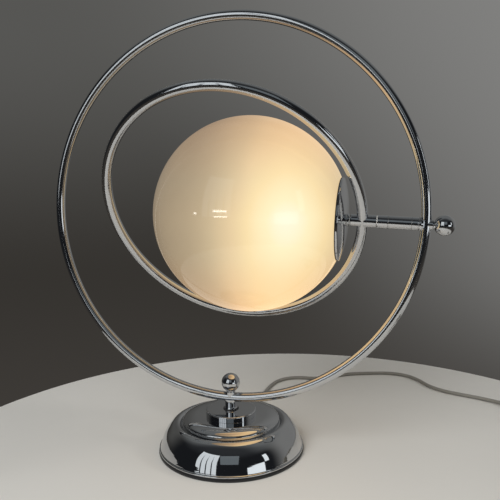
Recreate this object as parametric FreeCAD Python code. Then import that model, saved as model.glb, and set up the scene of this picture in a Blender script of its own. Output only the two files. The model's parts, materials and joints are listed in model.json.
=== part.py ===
import FreeCAD, Part
import math
import os

# Glass globe table lamp: a spun chrome base, a large upright ring standing on a
# short swivel stem, a horizontal arm reaching in from the right of that ring,
# a smaller ring threaded on the arm, and an opal glass globe on the arm's end.
# Millimetres. Origin: centre of the base's underside. +Z up, +X towards the
# arm's side of the rings, +Y to the back.

V = FreeCAD.Vector
os.makedirs("parts", exist_ok=True)

# ------------------------------------------------------------ driving sizes
RING_H = 255.5        # height of the outer ring's centre
RING_R = 199.0        # outer ring, centreline radius
RING_T = 5.0          # outer ring, tube radius
RING_BORE = 4.0       # outer ring, inside radius of the tube
ARM_DROP = 3.1        # degrees that the arm falls towards its outer end
IN_R = 137.5          # inner ring, centreline radius
IN_T = 5.5            # inner ring, tube radius
IN_BORE = 4.5         # inner ring, inside radius of the tube
IN_TILT = 30.0        # degrees that the inner ring leans to the front
IN_U = 1.4            # inner ring's centre along the arm from the outer ring's centre
GLOBE_R = 100.0       # globe, outside radius
GLOBE_WALL = 2.6
GLOBE_U = 24.75       # globe's centre along the arm
OPENING_R = 40.5      # radius of the opening in the globe
ARM_OD = 6.35         # radius of arm tubes and stem
ARM_BORE = 3.06       # running bore of what turns on the arm rod
ROD_R = 3.0           # radius of the hollow threaded arm rod
ROD_BORE = 2.1
BALL_R = 10.0
FOOT_R = 78.5
STEP_R = 52.3
STEP_TOP = 37.5
SEAT_Z = 28.4         # top of the base shell's flat seat
COLLAR_R = 26.9
COLLAR_TOP = 43.5
SHELL_T = 1.2
SPINDLE_R = 5.0
SPINDLE_FIT = 5.06
CORD_R = 2.3
CORD_Z = 2.35
LEAD_X, LEAD_Z = -3.0, 11.0   # where the mains lead enters the base
LEAD_OUT = 103.0              # end of the strain relief, behind the base


def save(name, shape):
    shape.exportStep("parts/%s.step" % name)


def cyl(r, h, p=(0, 0, 0), d=(0, 0, 1)):
    return Part.makeCylinder(r, h, V(*p), V(*d))


def tube(ro, ri, h, p=(0, 0, 0), d=(0, 0, 1)):
    return cyl(ro, h, p, d).cut(cyl(ri, h, p, d))


def box(x0, y0, z0, x1, y1, z1):
    return Part.makeBox(x1 - x0, y1 - y0, z1 - z0, V(x0, y0, z0))


def seg(a, b):
    return Part.LineSegment(V(a[0], 0, a[1]), V(b[0], 0, b[1])).toShape()


def arc(a, m, b):
    return Part.Arc(V(a[0], 0, a[1]), V(m[0], 0, m[1]), V(b[0], 0, b[1])).toShape()


def spun(edges):
    """Solid of revolution about Z from a closed set of edges in the XZ plane."""
    face = Part.Face(Part.Wire(Part.__sortEdges__(edges)))
    s = face.revolve(V(0, 0, 0), V(0, 0, 1), 360)
    return s if s.Volume > 0 else s.reversed()


def turned(points, arcs=()):
    """Solid of revolution about Z from a closed outline of (radius, height)
    points. arcs gives, for the run that starts at a point's index, a third
    point that the run bends through."""
    edges, bends = [], dict(arcs)
    n = len(points)
    for i in range(n):
        a, b = points[i], points[(i + 1) % n]
        edges.append(arc(a, bends[i], b) if i in bends else seg(a, b))
    return spun(edges)


def hexnut(af, ri, h, z):
    r = af / math.sqrt(3)
    pts = [V(r * math.cos(math.radians(60 * i)), r * math.sin(math.radians(60 * i)), z)
           for i in range(6)]
    pts.append(pts[0])
    s = Part.Face(Part.makePolygon(pts)).extrude(V(0, 0, h))
    k = min(0.6, h * 0.25)
    s = s.common(turned([(0, z), (r - 2 * k, z), (r, z + k), (r, z + h - k),
                         (r - 2 * k, z + h), (0, z + h)]))
    return s.cut(cyl(ri, h, (0, 0, z)))


def along_arm(shape):
    """Turns a shape modelled about Z so that Z becomes the arm's own direction
    u, measured from the outer ring's centre."""
    s = shape.copy()
    s.rotate(V(0, 0, 0), V(0, 1, 0), 90)
    return s


def to_arm(shape):
    """Moves a shape from the arm's frame (x = u along the arm, y = back) to
    the lamp's frame."""
    s = shape.copy()
    s.rotate(V(0, 0, 0), V(0, 1, 0), ARM_DROP)
    s.translate(V(0, 0, RING_H))
    return s


def group(shapes):
    return Part.makeCompound(shapes)


def route_tube(points, r, name):
    """Round tube along straight runs joined by tangent arcs, each arc as large
    as its two runs allow."""
    P = [V(*p) for p in points]
    cuts = []
    for i in range(1, len(P) - 1):
        a, b = P[i - 1] - P[i], P[i + 1] - P[i]
        la, lb = a.Length, b.Length
        a.normalize()
        b.normalize()
        turn = math.pi - a.getAngle(b)
        t = 0.45 * min(la, lb)
        cuts.append((i, a, b, t, t / math.tan(turn / 2), turn))
    edges, here = [], P[0]
    for i, a, b, t, rad, turn in cuts:
        s, e = P[i] + a * t, P[i] + b * t
        half = a + b
        half.normalize()
        m = P[i] + half * (rad / math.cos(turn / 2) - rad)
        edges.append(Part.LineSegment(here, s).toShape())
        edges.append(Part.Arc(s, m, e).toShape())
        here = e
    edges.append(Part.LineSegment(here, P[-1]).toShape())
    wire = Part.Wire(edges)
    d0 = P[1] - P[0]
    d0.normalize()
    s = wire.makePipeShell([Part.Wire(Part.makeCircle(r, P[0], d0))], True, False, 2)
    s = s if s.Volume > 0 else s.reversed()
    want = math.pi * r * r * wire.Length
    print(name, "length", round(wire.Length, 1), "volume ratio", round(s.Volume / want, 4),
          "least radius", round(min(c[4] for c in cuts), 1), "valid", s.isValid())
    print("   radii", [round(c[4]) for c in cuts], "turns", [round(math.degrees(c[5])) for c in cuts],
          "runs", [round((P[k + 1] - P[k]).Length) for k in range(len(P) - 1)])
    return s, wire.Length


# ================================================================ the base
# spun shell: lip, upright wall, rounded shoulder, dished seat for the step disc
outer_prof = [(77.2, 5.7), (76.2, 6.1), (75.6, 7.4), (75.1, 9.6), (74.4, 12.6), (73.3, 15.9),
              (71.8, 19.2), (69.8, 22.5), (67.3, 25.7), (64.6, 28.6), (62.2, 30.5), (59.8, 31.5),
              (57.4, 31.7), (55.2, 30.7), (53.0, SEAT_Z)]
oc = Part.BSplineCurve()
oc.interpolate([V(r, 0, z) for r, z in outer_prof])
inner_pts = []
STEPS = 22
for k in range(STEPS + 1):
    p = oc.getD1(oc.FirstParameter + (oc.LastParameter - oc.FirstParameter) * k / STEPS)
    t = p[1]
    t.normalize()
    n = V(-t.z, 0, t.x)             # to the left of the upward run, towards the inside
    inner_pts.append(p[0] + n * SHELL_T)
inner_pts = [p for p in inner_pts if p.z > SEAT_Z - SHELL_T + 0.5 or p.x > 60]
ic = Part.BSplineCurve()
ic.interpolate(inner_pts)
i0, i1 = inner_pts[0], inner_pts[-1]
base_shell = spun([
    seg((6.5, SEAT_Z - SHELL_T), (6.5, SEAT_Z)),
    seg((6.5, SEAT_Z), (53.0, SEAT_Z)),
    oc.toShape(),
    arc((77.2, 5.7), (78.05, 4.6), (77.4, 3.4)),
    seg((77.4, 3.4), (76.4, 3.4)),
    arc((76.4, 3.4), (76.75, 3.95), (i0.x, i0.z)),
    ic.toShape(),
    seg((i1.x, i1.z), (52.4, SEAT_Z - SHELL_T)),
    seg((52.4, SEAT_Z - SHELL_T), (6.5, SEAT_Z - SHELL_T)),
])
base_shell = base_shell.cut(cyl(4.0, 12, (LEAD_X, 66, LEAD_Z), (0, 1, 0)))
save("base_shell", base_shell)

# black edging under the lip, on which the lamp stands
save("foot_ring", turned([(70.6, 0), (77.6, 0), (78.5, 0.9), (78.5, 2.6), (77.7, 3.4), (70.6, 3.4)],
                         arcs=[(1, (78.2, 0.25)), (3, (78.25, 3.15))]))

plate_holes = [(46 * math.cos(math.radians(a)), 46 * math.sin(math.radians(a)))
               for a in (30, 150, 270)]
PLATE_Z = 1.8
felt = cyl(69.8, PLATE_Z)
plate = cyl(70.0, 1.2, (0, 0, PLATE_Z))
# cast ballast: iron ring with a recess for the nuts and a channel for the lead
ballast = turned([(6.5, 21.0), (24.0, 21.0), (24.0, 6.0), (66.0, 6.0), (66.0, 17.0),
                  (61.5, 24.0), (52.0, SEAT_Z - SHELL_T), (6.5, SEAT_Z - SHELL_T)])
ballast = ballast.cut(box(-14.5, 20.0, 5.0, 8.5, 70.0, 18.0))
screws = []
for x, y in plate_holes:
    felt = felt.cut(cyl(3.6, PLATE_Z, (x, y, 0)))
    plate = plate.cut(cyl(1.6, 1.2, (x, y, PLATE_Z)))
    ballast = ballast.fuse(cyl(4.5, 3.0, (x, y, 3.0))).cut(cyl(1.6, 10.0, (x, y, 3.0)))
    s = cyl(1.6, 11.0, (x, y, PLATE_Z))
    head = turned([(0, 0.5), (2.6, 0.5), (3.2, 1.0), (3.2, PLATE_Z), (0, PLATE_Z)])
    head.translate(V(x, y, 0))
    screws.append(s.fuse(head.cut(box(x - 3.6, y - 0.45, 0.3, x + 3.6, y + 0.45, 1.1))))
STOP_R = 16.5
ballast = ballast.cut(cyl(1.5, 5.0, (0, STOP_R, 21.0)))
for dx in (-5.6, 5.6):
    ballast = ballast.cut(cyl(1.3, 4.0, (LEAD_X + dx, 57.0, 18.0)))
save("base_felt", felt)
save("base_plate", plate)
save("ballast", ballast)
save("plate_screws", group(screws))

# step disc: turned disc that sits on the shell's seat, hollowed underneath
save("step_disc", turned(
    [(6.5, STEP_TOP), (38.0, STEP_TOP), (45.15, 36.87), (49.71, 35.5), (51.81, 34.02),
     (STEP_R, 32.8), (STEP_R, SEAT_Z), (STEP_R - 1.4, SEAT_Z), (STEP_R - 1.4, 32.4),
     (50.0, 33.6), (47.0, 34.9), (42.0, 35.7), (36.0, STEP_TOP - 1.6), (20.0, STEP_TOP - 1.6),
     (20.0, SEAT_Z), (6.5, SEAT_Z)],
    arcs=[(1, (41.70, 37.34)), (2, (47.66, 36.27)), (3, (50.96, 34.79)), (4, (52.18, 33.41))]))

# collar disc: small cup over the upper nut
save("collar_disc", turned(
    [(5.3, COLLAR_TOP), (COLLAR_R - 1.0, COLLAR_TOP), (COLLAR_R, COLLAR_TOP - 1.0),
     (COLLAR_R, STEP_TOP), (COLLAR_R - 1.6, STEP_TOP), (COLLAR_R - 1.6, COLLAR_TOP - 2.0),
     (5.3, COLLAR_TOP - 2.0)],
    arcs=[(1, (COLLAR_R - 0.29, COLLAR_TOP - 0.29))]))

# hollow threaded tube with a nut and washer at each end clamps the base stack
save("base_tube", tube(6.5, SPINDLE_FIT, 41.0 - 14.6, (0, 0, 14.6)))
save("base_nuts", group([hexnut(19, 6.5, 2.7, 38.3), hexnut(19, 6.5, 4.6, 15.4)]))
lock = turned([(6.5, 20.0), (12.5, 20.0), (12.5, 21.0), (6.5, 21.0)])
for k in range(10):
    a = math.radians(36 * k)
    lock = lock.cut(cyl(1.2, 1.0, (12.9 * math.cos(a), 12.9 * math.sin(a), 20.0)))
save("base_washers", group([tube(14.0, 6.5, 38.3 - STEP_TOP, (0, 0, STEP_TOP)), lock]))
# washers that the swivel rubs on, above and below
save("swivel_washers", group([tube(8.4, 5.3, 0.5, (0, 0, COLLAR_TOP)),
                              tube(9.6, 5.3, 0.7, (0, 0, 13.9)).common(tube(9.6, 5.3, 0.7, (0, 0, 13.9)))]))
# pin in the ballast that keeps the ring from winding up its wires
save("stop_pin", cyl(1.5, 14.6, (0, STOP_R, 11.0)))

# ---- mains lead into the base: strain relief, clamp, terminal block
boot_l = LEAD_OUT - 70.2
boot = turned([(CORD_R, 0), (4.0, 0), (4.0, 2.8), (6.2, 2.8), (6.2, 5.6), (5.0, 6.6),
               (3.3, boot_l), (CORD_R, boot_l)],
              arcs=[(4, (5.5, 6.3))])
for k in range(4):
    z = 11.0 + 5.4 * k
    ro = 5.0 + (3.3 - 5.0) * (z - 6.6) / (boot_l - 6.6)
    boot = boot.cut(tube(8, ro - 0.6, 1.7, (0, 0, z)))
boot.rotate(V(0, 0, 0), V(1, 0, 0), -90)
boot.translate(V(LEAD_X, 70.2, LEAD_Z))
boot = boot.cut(base_shell)
boot = max(boot.Solids, key=lambda s: s.Volume)
save("strain_relief", boot)
save("lead_in", cyl(CORD_R, LEAD_OUT - 50.0, (LEAD_X, 50.0, LEAD_Z), (0, 1, 0)))
clamp = box(LEAD_X - 8.0, 54.0, 7.0, LEAD_X + 8.0, 60.0, 18.0)
clamp = clamp.cut(cyl(CORD_R, 20, (LEAD_X, 50, LEAD_Z), (0, 1, 0)))
clamp_scr = []
for dx in (-5.6, 5.6):
    clamp = clamp.cut(cyl(1.3, 12, (LEAD_X + dx, 57.0, 6.5)))
    clamp_scr.append(cyl(1.3, 15.0, (LEAD_X + dx, 57.0, 7.0)).fuse(
        cyl(2.2, 1.4, (LEAD_X + dx, 57.0, 5.6))))
save("cord_clamp", clamp)
save("clamp_screws", group(clamp_scr))
block = box(LEAD_X - 9.0, 31.0, 5.4, LEAD_X + 9.0, 43.0, 16.4)
for dx in (-4.2, 4.2):
    block = block.cut(cyl(1.8, 14, (LEAD_X + dx, 30, LEAD_Z), (0, 1, 0)))
    for y in (34.0, 40.0):
        block = block.cut(cyl(1.4, 7, (LEAD_X + dx, y, LEAD_Z)))
save("terminal_block", block)
wires = []
for s in (-1, 1):
    hx = LEAD_X + 4.2 * s
    w, _ = route_tube([(1.05 * s, 0.0, 7.7), (1.05 * s, 1.6, 5.3), (1.4 * s - 0.3, 11.0, 5.2),
                       (hx * 0.6 + 0.5, 20.0, 7.0), (hx, 28.5, 10.6), (hx + 0.01, 35.6, LEAD_Z)], 0.95, "wire")
    wires.append(w)
    w, _ = route_tube([(hx, 38.4, LEAD_Z), (hx + 0.01 * s, 43.6, LEAD_Z), (LEAD_X + 1.1 * s, 50.0, LEAD_Z)], 0.95, "core")
    wires.append(w)
save("wires_base", group(wires))

# ================================================== the ring frame on its stem
# turned hollow spindle: thick below, thin where it passes the ring
spindle = turned([(ROD_BORE, 8.0), (SPINDLE_R, 8.0), (SPINDLE_R, 50.2), (ROD_R, 50.2),
                  (ROD_R, 68.0), (ROD_BORE, 68.0)])
spindle = spindle.cut(box(0, -1.5, RING_H - RING_R - 2.6, 6, 1.5, RING_H - RING_R + 2.6))
save("swivel_spindle", spindle)
save("spindle_nuts", group([hexnut(15, SPINDLE_R, 2.0, 9.0), hexnut(15, SPINDLE_R, 2.0, 11.6)]))
save("stop_washer", tube(7.4, SPINDLE_R, 0.6, (0, 0, 11.0)).fuse(
    box(-2.2, -18.6, 11.0, 2.2, -5.6, 11.6)))

ring_solid = Part.makeTorus(RING_R, RING_T, V(0, 0, RING_H), V(0, 1, 0))
stem = turned([(SPINDLE_R, COLLAR_TOP + 0.8), (ARM_OD + 0.7, COLLAR_TOP + 0.8),
               (ARM_OD + 0.7, COLLAR_TOP + 1.4), (ARM_OD, COLLAR_TOP + 2.6), (ARM_OD, 54.0),
               (ROD_R, 54.0), (ROD_R, 50.2), (SPINDLE_R, 50.2)])
save("stem", stem.cut(ring_solid))

ring = ring_solid.cut(Part.makeTorus(RING_R, RING_BORE, V(0, 0, RING_H), V(0, 1, 0)))
ring = ring.cut(cyl(ROD_R, 20, (0, 0, RING_H - RING_R - 10)))
ring = ring.cut(to_arm(along_arm(cyl(ROD_R, 24, (0, 0, RING_R - 12)))))
save("outer_ring", ring)

FIN_SEAT = 0.9


def finial(seat, centre, depth):
    """Ball finial about Z on a seat height, with a short neck and a blind bore."""
    b = Part.makeSphere(BALL_R, V(0, 0, centre))
    low = centre - BALL_R
    neck = turned([(0, seat), (3.9, seat), (4.5, seat + 0.5), (4.1, seat + 1.0),
                   (4.1, low + 1.0), (0, low + 1.0)],
                  arcs=[(1, (4.33, seat + 0.15)), (2, (4.4, seat + 0.8))]) if low > seat + 0.5 else \
        turned([(0, seat), (4.3, seat), (4.3, low + 1.2), (0, low + 1.2)])
    b = b.cut(cyl(20, 20, (0, 0, seat - 20)))
    return b.fuse(neck).cut(cyl(ROD_R, depth - seat, (0, 0, seat)))


# saddle washers between ring and finials, and the finials
ring_top = RING_H - RING_R + RING_T
w_low = tube(4.9, ROD_R, RING_T + FIN_SEAT, (0, 0, RING_H - RING_R)).cut(ring_solid)
ring_arm = Part.makeTorus(RING_R, RING_T, V(0, 0, 0), V(0, 1, 0))
w_side = to_arm(along_arm(tube(4.9, ROD_R, RING_T + FIN_SEAT, (0, 0, RING_R))).cut(ring_arm))
save("finial_washers", group([w_low, w_side]))
save("ball_finial_lower", finial(ring_top + FIN_SEAT, ring_top + FIN_SEAT + 10.15, 68.0))
SIDE_SEAT = RING_R + RING_T + FIN_SEAT
save("ball_finial_side", to_arm(along_arm(finial(SIDE_SEAT, SIDE_SEAT + 10.95, 210.0))))

# ------------------------------------------------------------------ the arm
U_OPEN = GLOBE_U + math.sqrt(GLOBE_R ** 2 - OPENING_R ** 2)   # plane of the opening
ROD_IN, ROD_OUT = 99.0, 210.0
rod = along_arm(tube(ROD_R, ROD_BORE, ROD_OUT - ROD_IN, (0, 0, ROD_IN)))
rod = rod.cut(box(RING_R - 2.6, -1.5, -6, RING_R + 2.6, 1.5, 0))
save("arm_rod", to_arm(rod))

end_c = turned([(ROD_R, 185.6), (ARM_OD - 0.2, 185.6), (ARM_OD, 185.8), (ARM_OD, 191.2),
                (5.9, 191.6), (5.9, 192.2), (6.9, 192.9), (6.9, 194.4), (6.2, 196.5), (ROD_R, 196.5)])
save("arm_end_collar", to_arm(along_arm(end_c).cut(ring_arm)))

SWIVEL_OUT = 152.3
save("arm_tube", to_arm(along_arm(turned(
    [(ROD_R, 163.5), (ARM_OD - 0.2, 163.5), (ARM_OD, 163.7), (ARM_OD, 185.4), (ARM_OD - 0.2, 185.6),
     (ROD_R, 185.6), (ROD_R, 184.0), (ARM_OD - 1.2, 184.0), (ARM_OD - 1.2, 165.0), (ROD_R, 165.0)]))))
save("arm_sleeve", to_arm(along_arm(turned(
    [(ROD_R, SWIVEL_OUT + 0.85), (ARM_OD - 0.2, SWIVEL_OUT + 0.85), (ARM_OD, SWIVEL_OUT + 1.05),
     (ARM_OD, 163.3), (ARM_OD - 0.2, 163.5), (ROD_R, 163.5)]))))
# friction washers at each side of what turns on the arm
U_NECK = 125.6
save("arm_friction_washers", group([
    to_arm(along_arm(tube(5.6, ROD_R, 0.55, (0, 0, SWIVEL_OUT + 0.3)))),
    to_arm(along_arm(tube(5.2, ROD_R, 0.5, (0, 0, U_NECK + 0.9))))]))

# --------------------------------------------------- inner ring and its saddles
U_SADDLE_IN = U_NECK + 1.7
inner_solid = Part.makeTorus(IN_R, IN_T, V(0, 0, 0), V(0, 1, 0))
inner_ring = inner_solid.cut(Part.makeTorus(IN_R, IN_BORE, V(0, 0, 0), V(0, 1, 0)))
for s in (inner_ring, inner_solid):
    s.rotate(V(0, 0, 0), V(1, 0, 0), IN_TILT)
    s.translate(V(IN_U, 0, 0))
inner_ring = inner_ring.cut(along_arm(cyl(ARM_BORE, 30, (0, 0, IN_U + IN_R - 15))))
save("inner_ring", to_arm(inner_ring))
so = along_arm(turned([(ARM_BORE, 140.0), (ARM_OD - 0.1, 140.0), (ARM_OD - 0.1, SWIVEL_OUT - 0.2),
                       (ARM_OD - 0.3, SWIVEL_OUT), (ARM_BORE, SWIVEL_OUT)])).cut(inner_solid)
save("saddle_sleeve_outer", to_arm(max(so.Solids, key=lambda s: s.BoundBox.XMax)))
si = along_arm(turned([(ARM_BORE, U_SADDLE_IN), (5.7, U_SADDLE_IN), (6.0, U_SADDLE_IN + 0.3),
                       (6.0, 138.0), (ARM_BORE, 138.0)])).cut(inner_solid)
save("saddle_sleeve_inner", to_arm(min(si.Solids, key=lambda s: s.BoundBox.XMin)))

# --------------------------------------------------- gallery, globe, lampholder
DOME_R = 41.6
DOME_TOP = 124.6
# spun dome: rolled edge against the glass, shallow crown, flat centre
save("gallery_dome", to_arm(along_arm(turned(
    [(ROD_R, DOME_TOP), (7.0, DOME_TOP), (DOME_R - 1.0, U_OPEN + 3.1), (DOME_R, U_OPEN + 1.9),
     (DOME_R, U_OPEN + 1.0), (DOME_R - 1.0, U_OPEN + 1.0), (DOME_R - 1.6, U_OPEN + 2.0),
     (7.0, DOME_TOP - 1.0), (ROD_R, DOME_TOP - 1.0)],
    arcs=[(1, (26.0, DOME_TOP - 2.35)), (2, (DOME_R - 0.2, U_OPEN + 2.6)), (6, (26.0, DOME_TOP - 3.4))]))))
save("gallery_neck", to_arm(along_arm(turned(
    [(ROD_R, DOME_TOP), (6.6, DOME_TOP), (6.6, DOME_TOP + 0.5), (5.4, U_NECK + 0.3),
     (5.4, U_NECK + 0.9), (ROD_R, U_NECK + 0.9)]))))
save("globe_gasket", to_arm(along_arm(turned(
    [(OPENING_R - 3.4, U_OPEN - 1.6), (OPENING_R - 2.6, U_OPEN - 1.6), (OPENING_R - 2.6, U_OPEN),
     (DOME_R - 0.2, U_OPEN), (DOME_R - 0.2, U_OPEN + 1.0), (OPENING_R - 3.4, U_OPEN + 1.0)]))))

globe = Part.makeSphere(GLOBE_R, V(0, 0, 0)).cut(Part.makeSphere(GLOBE_R - GLOBE_WALL, V(0, 0, 0)))
du = U_OPEN - GLOBE_U
globe = globe.cut(cyl(80, 40, (0, 0, du)))
globe = globe.cut(cyl(OPENING_R - 2.6, 40, (0, 0, du - 20)))
globe = max(globe.Solids, key=lambda s: s.Volume)
globe.translate(V(0, 0, GLOBE_U))
save("globe", to_arm(along_arm(globe)))

# three-armed spring holder just inside the opening
U_SPR = 110.0
spr = tube(9.0, ROD_R, 0.8, (0, 0, U_SPR))
for k in range(3):
    limb = box(7.0, -5.0, U_SPR, 40.9, 5.0, U_SPR + 0.8).fuse(
        box(40.1, -5.0, U_SPR, 40.9, 5.0, U_SPR + 2.7))
    limb.rotate(V(0, 0, 0), V(0, 0, 1), 120 * k + 30)
    spr = spr.fuse(limb)
save("globe_spring", to_arm(along_arm(spr.removeSplitter())))
save("rod_nuts", group([to_arm(along_arm(hexnut(10, ROD_R, 2.6, U_SPR - 2.6))),
                        to_arm(along_arm(hexnut(10, ROD_R, 3.0, DOME_TOP - 4.0)))]))
save("gallery_spacer", to_arm(along_arm(tube(6.0, ROD_R, DOME_TOP - 4.0 - (U_SPR + 0.8), (0, 0, U_SPR + 0.8)))))

# lampholder: cap on the rod, shell, insulating insert with contacts
HU = U_SPR - 2.6
save("holder_cap", to_arm(along_arm(turned(
    [(ROD_R, HU), (8.0, HU), (12.6, HU - 3.6), (12.6, HU - 9.4), (11.4, HU - 9.4), (11.4, HU - 4.2),
     (7.4, HU - 1.4), (ROD_R, HU - 1.4)]))))
save("holder_shell", to_arm(along_arm(turned(
    [(12.6, HU - 9.4), (13.6, HU - 10.4), (13.6, HU - 35.0), (9.6, HU - 35.0), (9.6, HU - 14.4),
     (11.4, HU - 13.0), (11.4, HU - 9.4)]))))
hi = cyl(11.4, 3.4, (0, 0, HU - 12.8))
for x, r in ((-4.5, 1.6), (4.5, 1.6), (0.0, 1.5)):
    hi = hi.cut(cyl(r, 4, (x, 0, HU - 13.0)))
save("holder_insert", to_arm(along_arm(hi)))
save("holder_contacts", group([to_arm(along_arm(c)) for c in (
    cyl(1.5, 4.8, (0, 0, HU - 14.2)), cyl(1.6, 4.2, (4.5, 0, HU - 13.4)), cyl(1.6, 4.2, (-4.5, 0, HU - 13.4)))]))

# small round bulb with its screw base
BASE_U = HU - 14.2
cap_pts = [(0, BASE_U), (2.6, BASE_U), (4.4, BASE_U - 1.8)]
z = BASE_U - 2.0
for k in range(7):
    cap_pts += [(6.3, z), (6.75, z - 1.2)]
    z -= 2.6
NECK_U = BASE_U - 23.4
cap_pts += [(6.6, NECK_U + 2.0), (6.6, NECK_U), (0, NECK_U)]
save("bulb_base", to_arm(along_arm(turned(cap_pts))))
BULB_R, BULB_U = 22.5, NECK_U - 25.8
env = turned([(0, NECK_U), (6.6, NECK_U), (11.2, BULB_U + math.sqrt(BULB_R ** 2 - 11.2 ** 2)),
              (0, BULB_U - BULB_R)],
             arcs=[(1, (7.8, NECK_U - 3.8)), (2, (BULB_R * math.cos(math.radians(-10)), BULB_U + BULB_R * math.sin(math.radians(-10))))])
env = env.cut(turned([(0, NECK_U - 1.0), (5.6, NECK_U - 1.0), (10.4, BULB_U + math.sqrt((BULB_R - 1) ** 2 - 10.4 ** 2)),
                      (0, BULB_U - BULB_R + 1)],
                     arcs=[(1, (6.8, NECK_U - 4.2)), (2, ((BULB_R - 1) * math.cos(math.radians(-10)), BULB_U + (BULB_R - 1) * math.sin(math.radians(-10))))]))
save("bulb_glass", to_arm(along_arm(env)))

# ---- wires inside the frame: up the stem, round the ring, along the arm
w0, w1 = math.radians(-90 + 2.2), math.radians(-ARM_DROP - 2.0)
far = 400.0
wm = (w0 + w1) / 2
wedge = Part.Face(Part.makePolygon([
    V(0, -3, RING_H), V(far * math.cos(w0), -3, RING_H + far * math.sin(w0)),
    V(far * 1.4 * math.cos(wm), -3, RING_H + far * 1.4 * math.sin(wm)),
    V(far * math.cos(w1), -3, RING_H + far * math.sin(w1)), V(0, -3, RING_H)])).extrude(V(0, 6, 0))
save("wires_frame", group([
    cyl(1.5, 54.0 - 8.2, (0, 0, 8.2)),
    Part.makeTorus(RING_R, 1.5, V(0, 0, RING_H), V(0, 1, 0)).common(wedge),
    to_arm(along_arm(cyl(1.5, 196.0 - 98.2, (0, 0, 98.2))))]))

# ============================================================ the mains lead
SW_AZ = math.radians(-75.0)          # the switch's direction on the floor
SW_L = 60.0
SW_Z = 9.0
S0 = (318.0, 160.0)
sd = (math.cos(SW_AZ), math.sin(SW_AZ))
S1 = (S0[0] + SW_L * sd[0], S0[1] + SW_L * sd[1])
COIL_C = (320.0, 28.0)
TURN_LOW = (18.1, 22.7, 27.3, 31.9)      # turns on the floor
TURN_HIGH = (20.4, 25.0, 29.6)           # turns in the grooves above
HIGH_Z = CORD_Z + 4.0
# first stretch: strain relief to switch
lead1 = [
    (LEAD_X, LEAD_OUT, LEAD_Z), (-3.1, 121.0, 10.4), (-2.4, 141.0, 5.4), (-1.6, 162.0, 2.7),
    (-1.5, 184.0, CORD_Z), (1.8, 206.0, CORD_Z), (12.5, 225.5, CORD_Z), (32.0, 235.5, CORD_Z),
    (55.0, 234.5, CORD_Z), (77.0, 248.0, CORD_Z), (101.0, 268.0, CORD_Z), (129.0, 277.5, CORD_Z),
    (158.0, 285.5, CORD_Z), (184.0, 281.5, CORD_Z), (202.0, 263.5, CORD_Z), (214.0, 241.0, CORD_Z),
    (233.0, 224.5, CORD_Z), (258.0, 215.0, CORD_Z), (283.0, 206.5, CORD_Z), (302.0, 193.5, 3.4),
    (312.8, 177.0, 7.9), (S0[0], S0[1], SW_Z)]
t1, len1 = route_tube(lead1, CORD_R, "cord_lead")
save("cord_lead", t1)
xe = COIL_C[0] + TURN_LOW[-1]
# second stretch: switch to coil
lead2 = [
    (S1[0], S1[1], SW_Z), (S1[0] + 4.3, S1[1] - 15.0, 7.5), (S1[0] + 9.3, S1[1] - 30.0, 4.0),
    (S1[0] + 14.4, S1[1] - 45.5, CORD_Z), (xe, COIL_C[1] + 12.0, CORD_Z)]
t2, len2 = route_tube(lead2, CORD_R, "cord_link")
save("cord_link", t2)
COIL_IN, COIL_OUT = TURN_LOW[0] - CORD_R, TURN_LOW[-1] + CORD_R
COIL_TOP = HIGH_Z + CORD_R
coil = turned([(COIL_IN + 1.2, 0.02), (COIL_OUT - 1.2, 0.02), (COIL_OUT, 1.4), (COIL_OUT, 3.6),
               (TURN_HIGH[-1] + CORD_R, COIL_TOP - 1.6), (TURN_HIGH[-1] + CORD_R - 1.6, COIL_TOP),
               (TURN_HIGH[0] - CORD_R + 1.6, COIL_TOP), (TURN_HIGH[0] - CORD_R, COIL_TOP - 1.6),
               (COIL_IN, 3.6), (COIL_IN, 1.4)])
coil.translate(V(COIL_C[0], COIL_C[1], 0))
save("cord_coil", coil)
# third stretch: coil to plug
xt = COIL_C[0] + TURN_HIGH[-1]
PLUG_Y = COIL_C[1] - 44.0
PZ = 7.15
lead3 = [(xt, COIL_C[1] - 10.0, HIGH_Z), (xt - 0.5, COIL_C[1] - 22.0, HIGH_Z + 0.3),
         (xt - 1.8, COIL_C[1] - 33.0, PZ - 0.1), (xt - 3.4, PLUG_Y, PZ)]
t3, len3 = route_tube(lead3, CORD_R, "cord_tail")
save("cord_tail", t3)
turns = 2 * math.pi * (sum(TURN_LOW) + sum(TURN_HIGH))
print("lead length outside the base:", round(len1 + SW_L + len2 + turns + len3, 1), "turns", round(turns, 1))


def lay(shape, at, az):
    s = shape.copy()
    s.rotate(V(0, 0, 0), V(0, 0, 1), math.degrees(az))
    s.translate(V(at[0], at[1], 0))
    return s


def pill(x0, x1, w, z0, z1, r):
    s = box(x0, -w, z0, x1, w, z1)
    return s.makeFillet(r, [e for e in s.Edges if e.BoundBox.ZLength > 1])


# inline switch, x along the cord, 0 to SW_L
sw_low = pill(6, SW_L - 6, 13.0, 0.3, SW_Z, 8.0)
sw_low = sw_low.makeFillet(1.2, [e for e in sw_low.Edges if e.BoundBox.ZMax < 0.301])
sw_low = sw_low.fuse(pill(0, 12, 5.0, 3.6, SW_Z, 2.0)).fuse(pill(SW_L - 12, SW_L, 5.0, 3.6, SW_Z, 2.0))
sw_up = pill(6, SW_L - 6, 13.0, SW_Z, 16.0, 8.0)
sw_up = sw_up.makeFillet(2.4, [e for e in sw_up.Edges if e.BoundBox.ZMin > 15.999])
sw_up = sw_up.fuse(pill(0, 12, 5.0, SW_Z, 14.0, 2.0)).fuse(pill(SW_L - 12, SW_L, 5.0, SW_Z, 14.0, 2.0))
for x0 in (0.0, SW_L - 12):
    bore = cyl(CORD_R, 14.0, (x0 - 1, 0, SW_Z), (1, 0, 0))
    sw_low = sw_low.cut(bore)
    sw_up = sw_up.cut(bore)
cav = box(12, -9, 3.0, SW_L - 12, 9, 13.6)
sw_low = sw_low.cut(cav)
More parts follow.
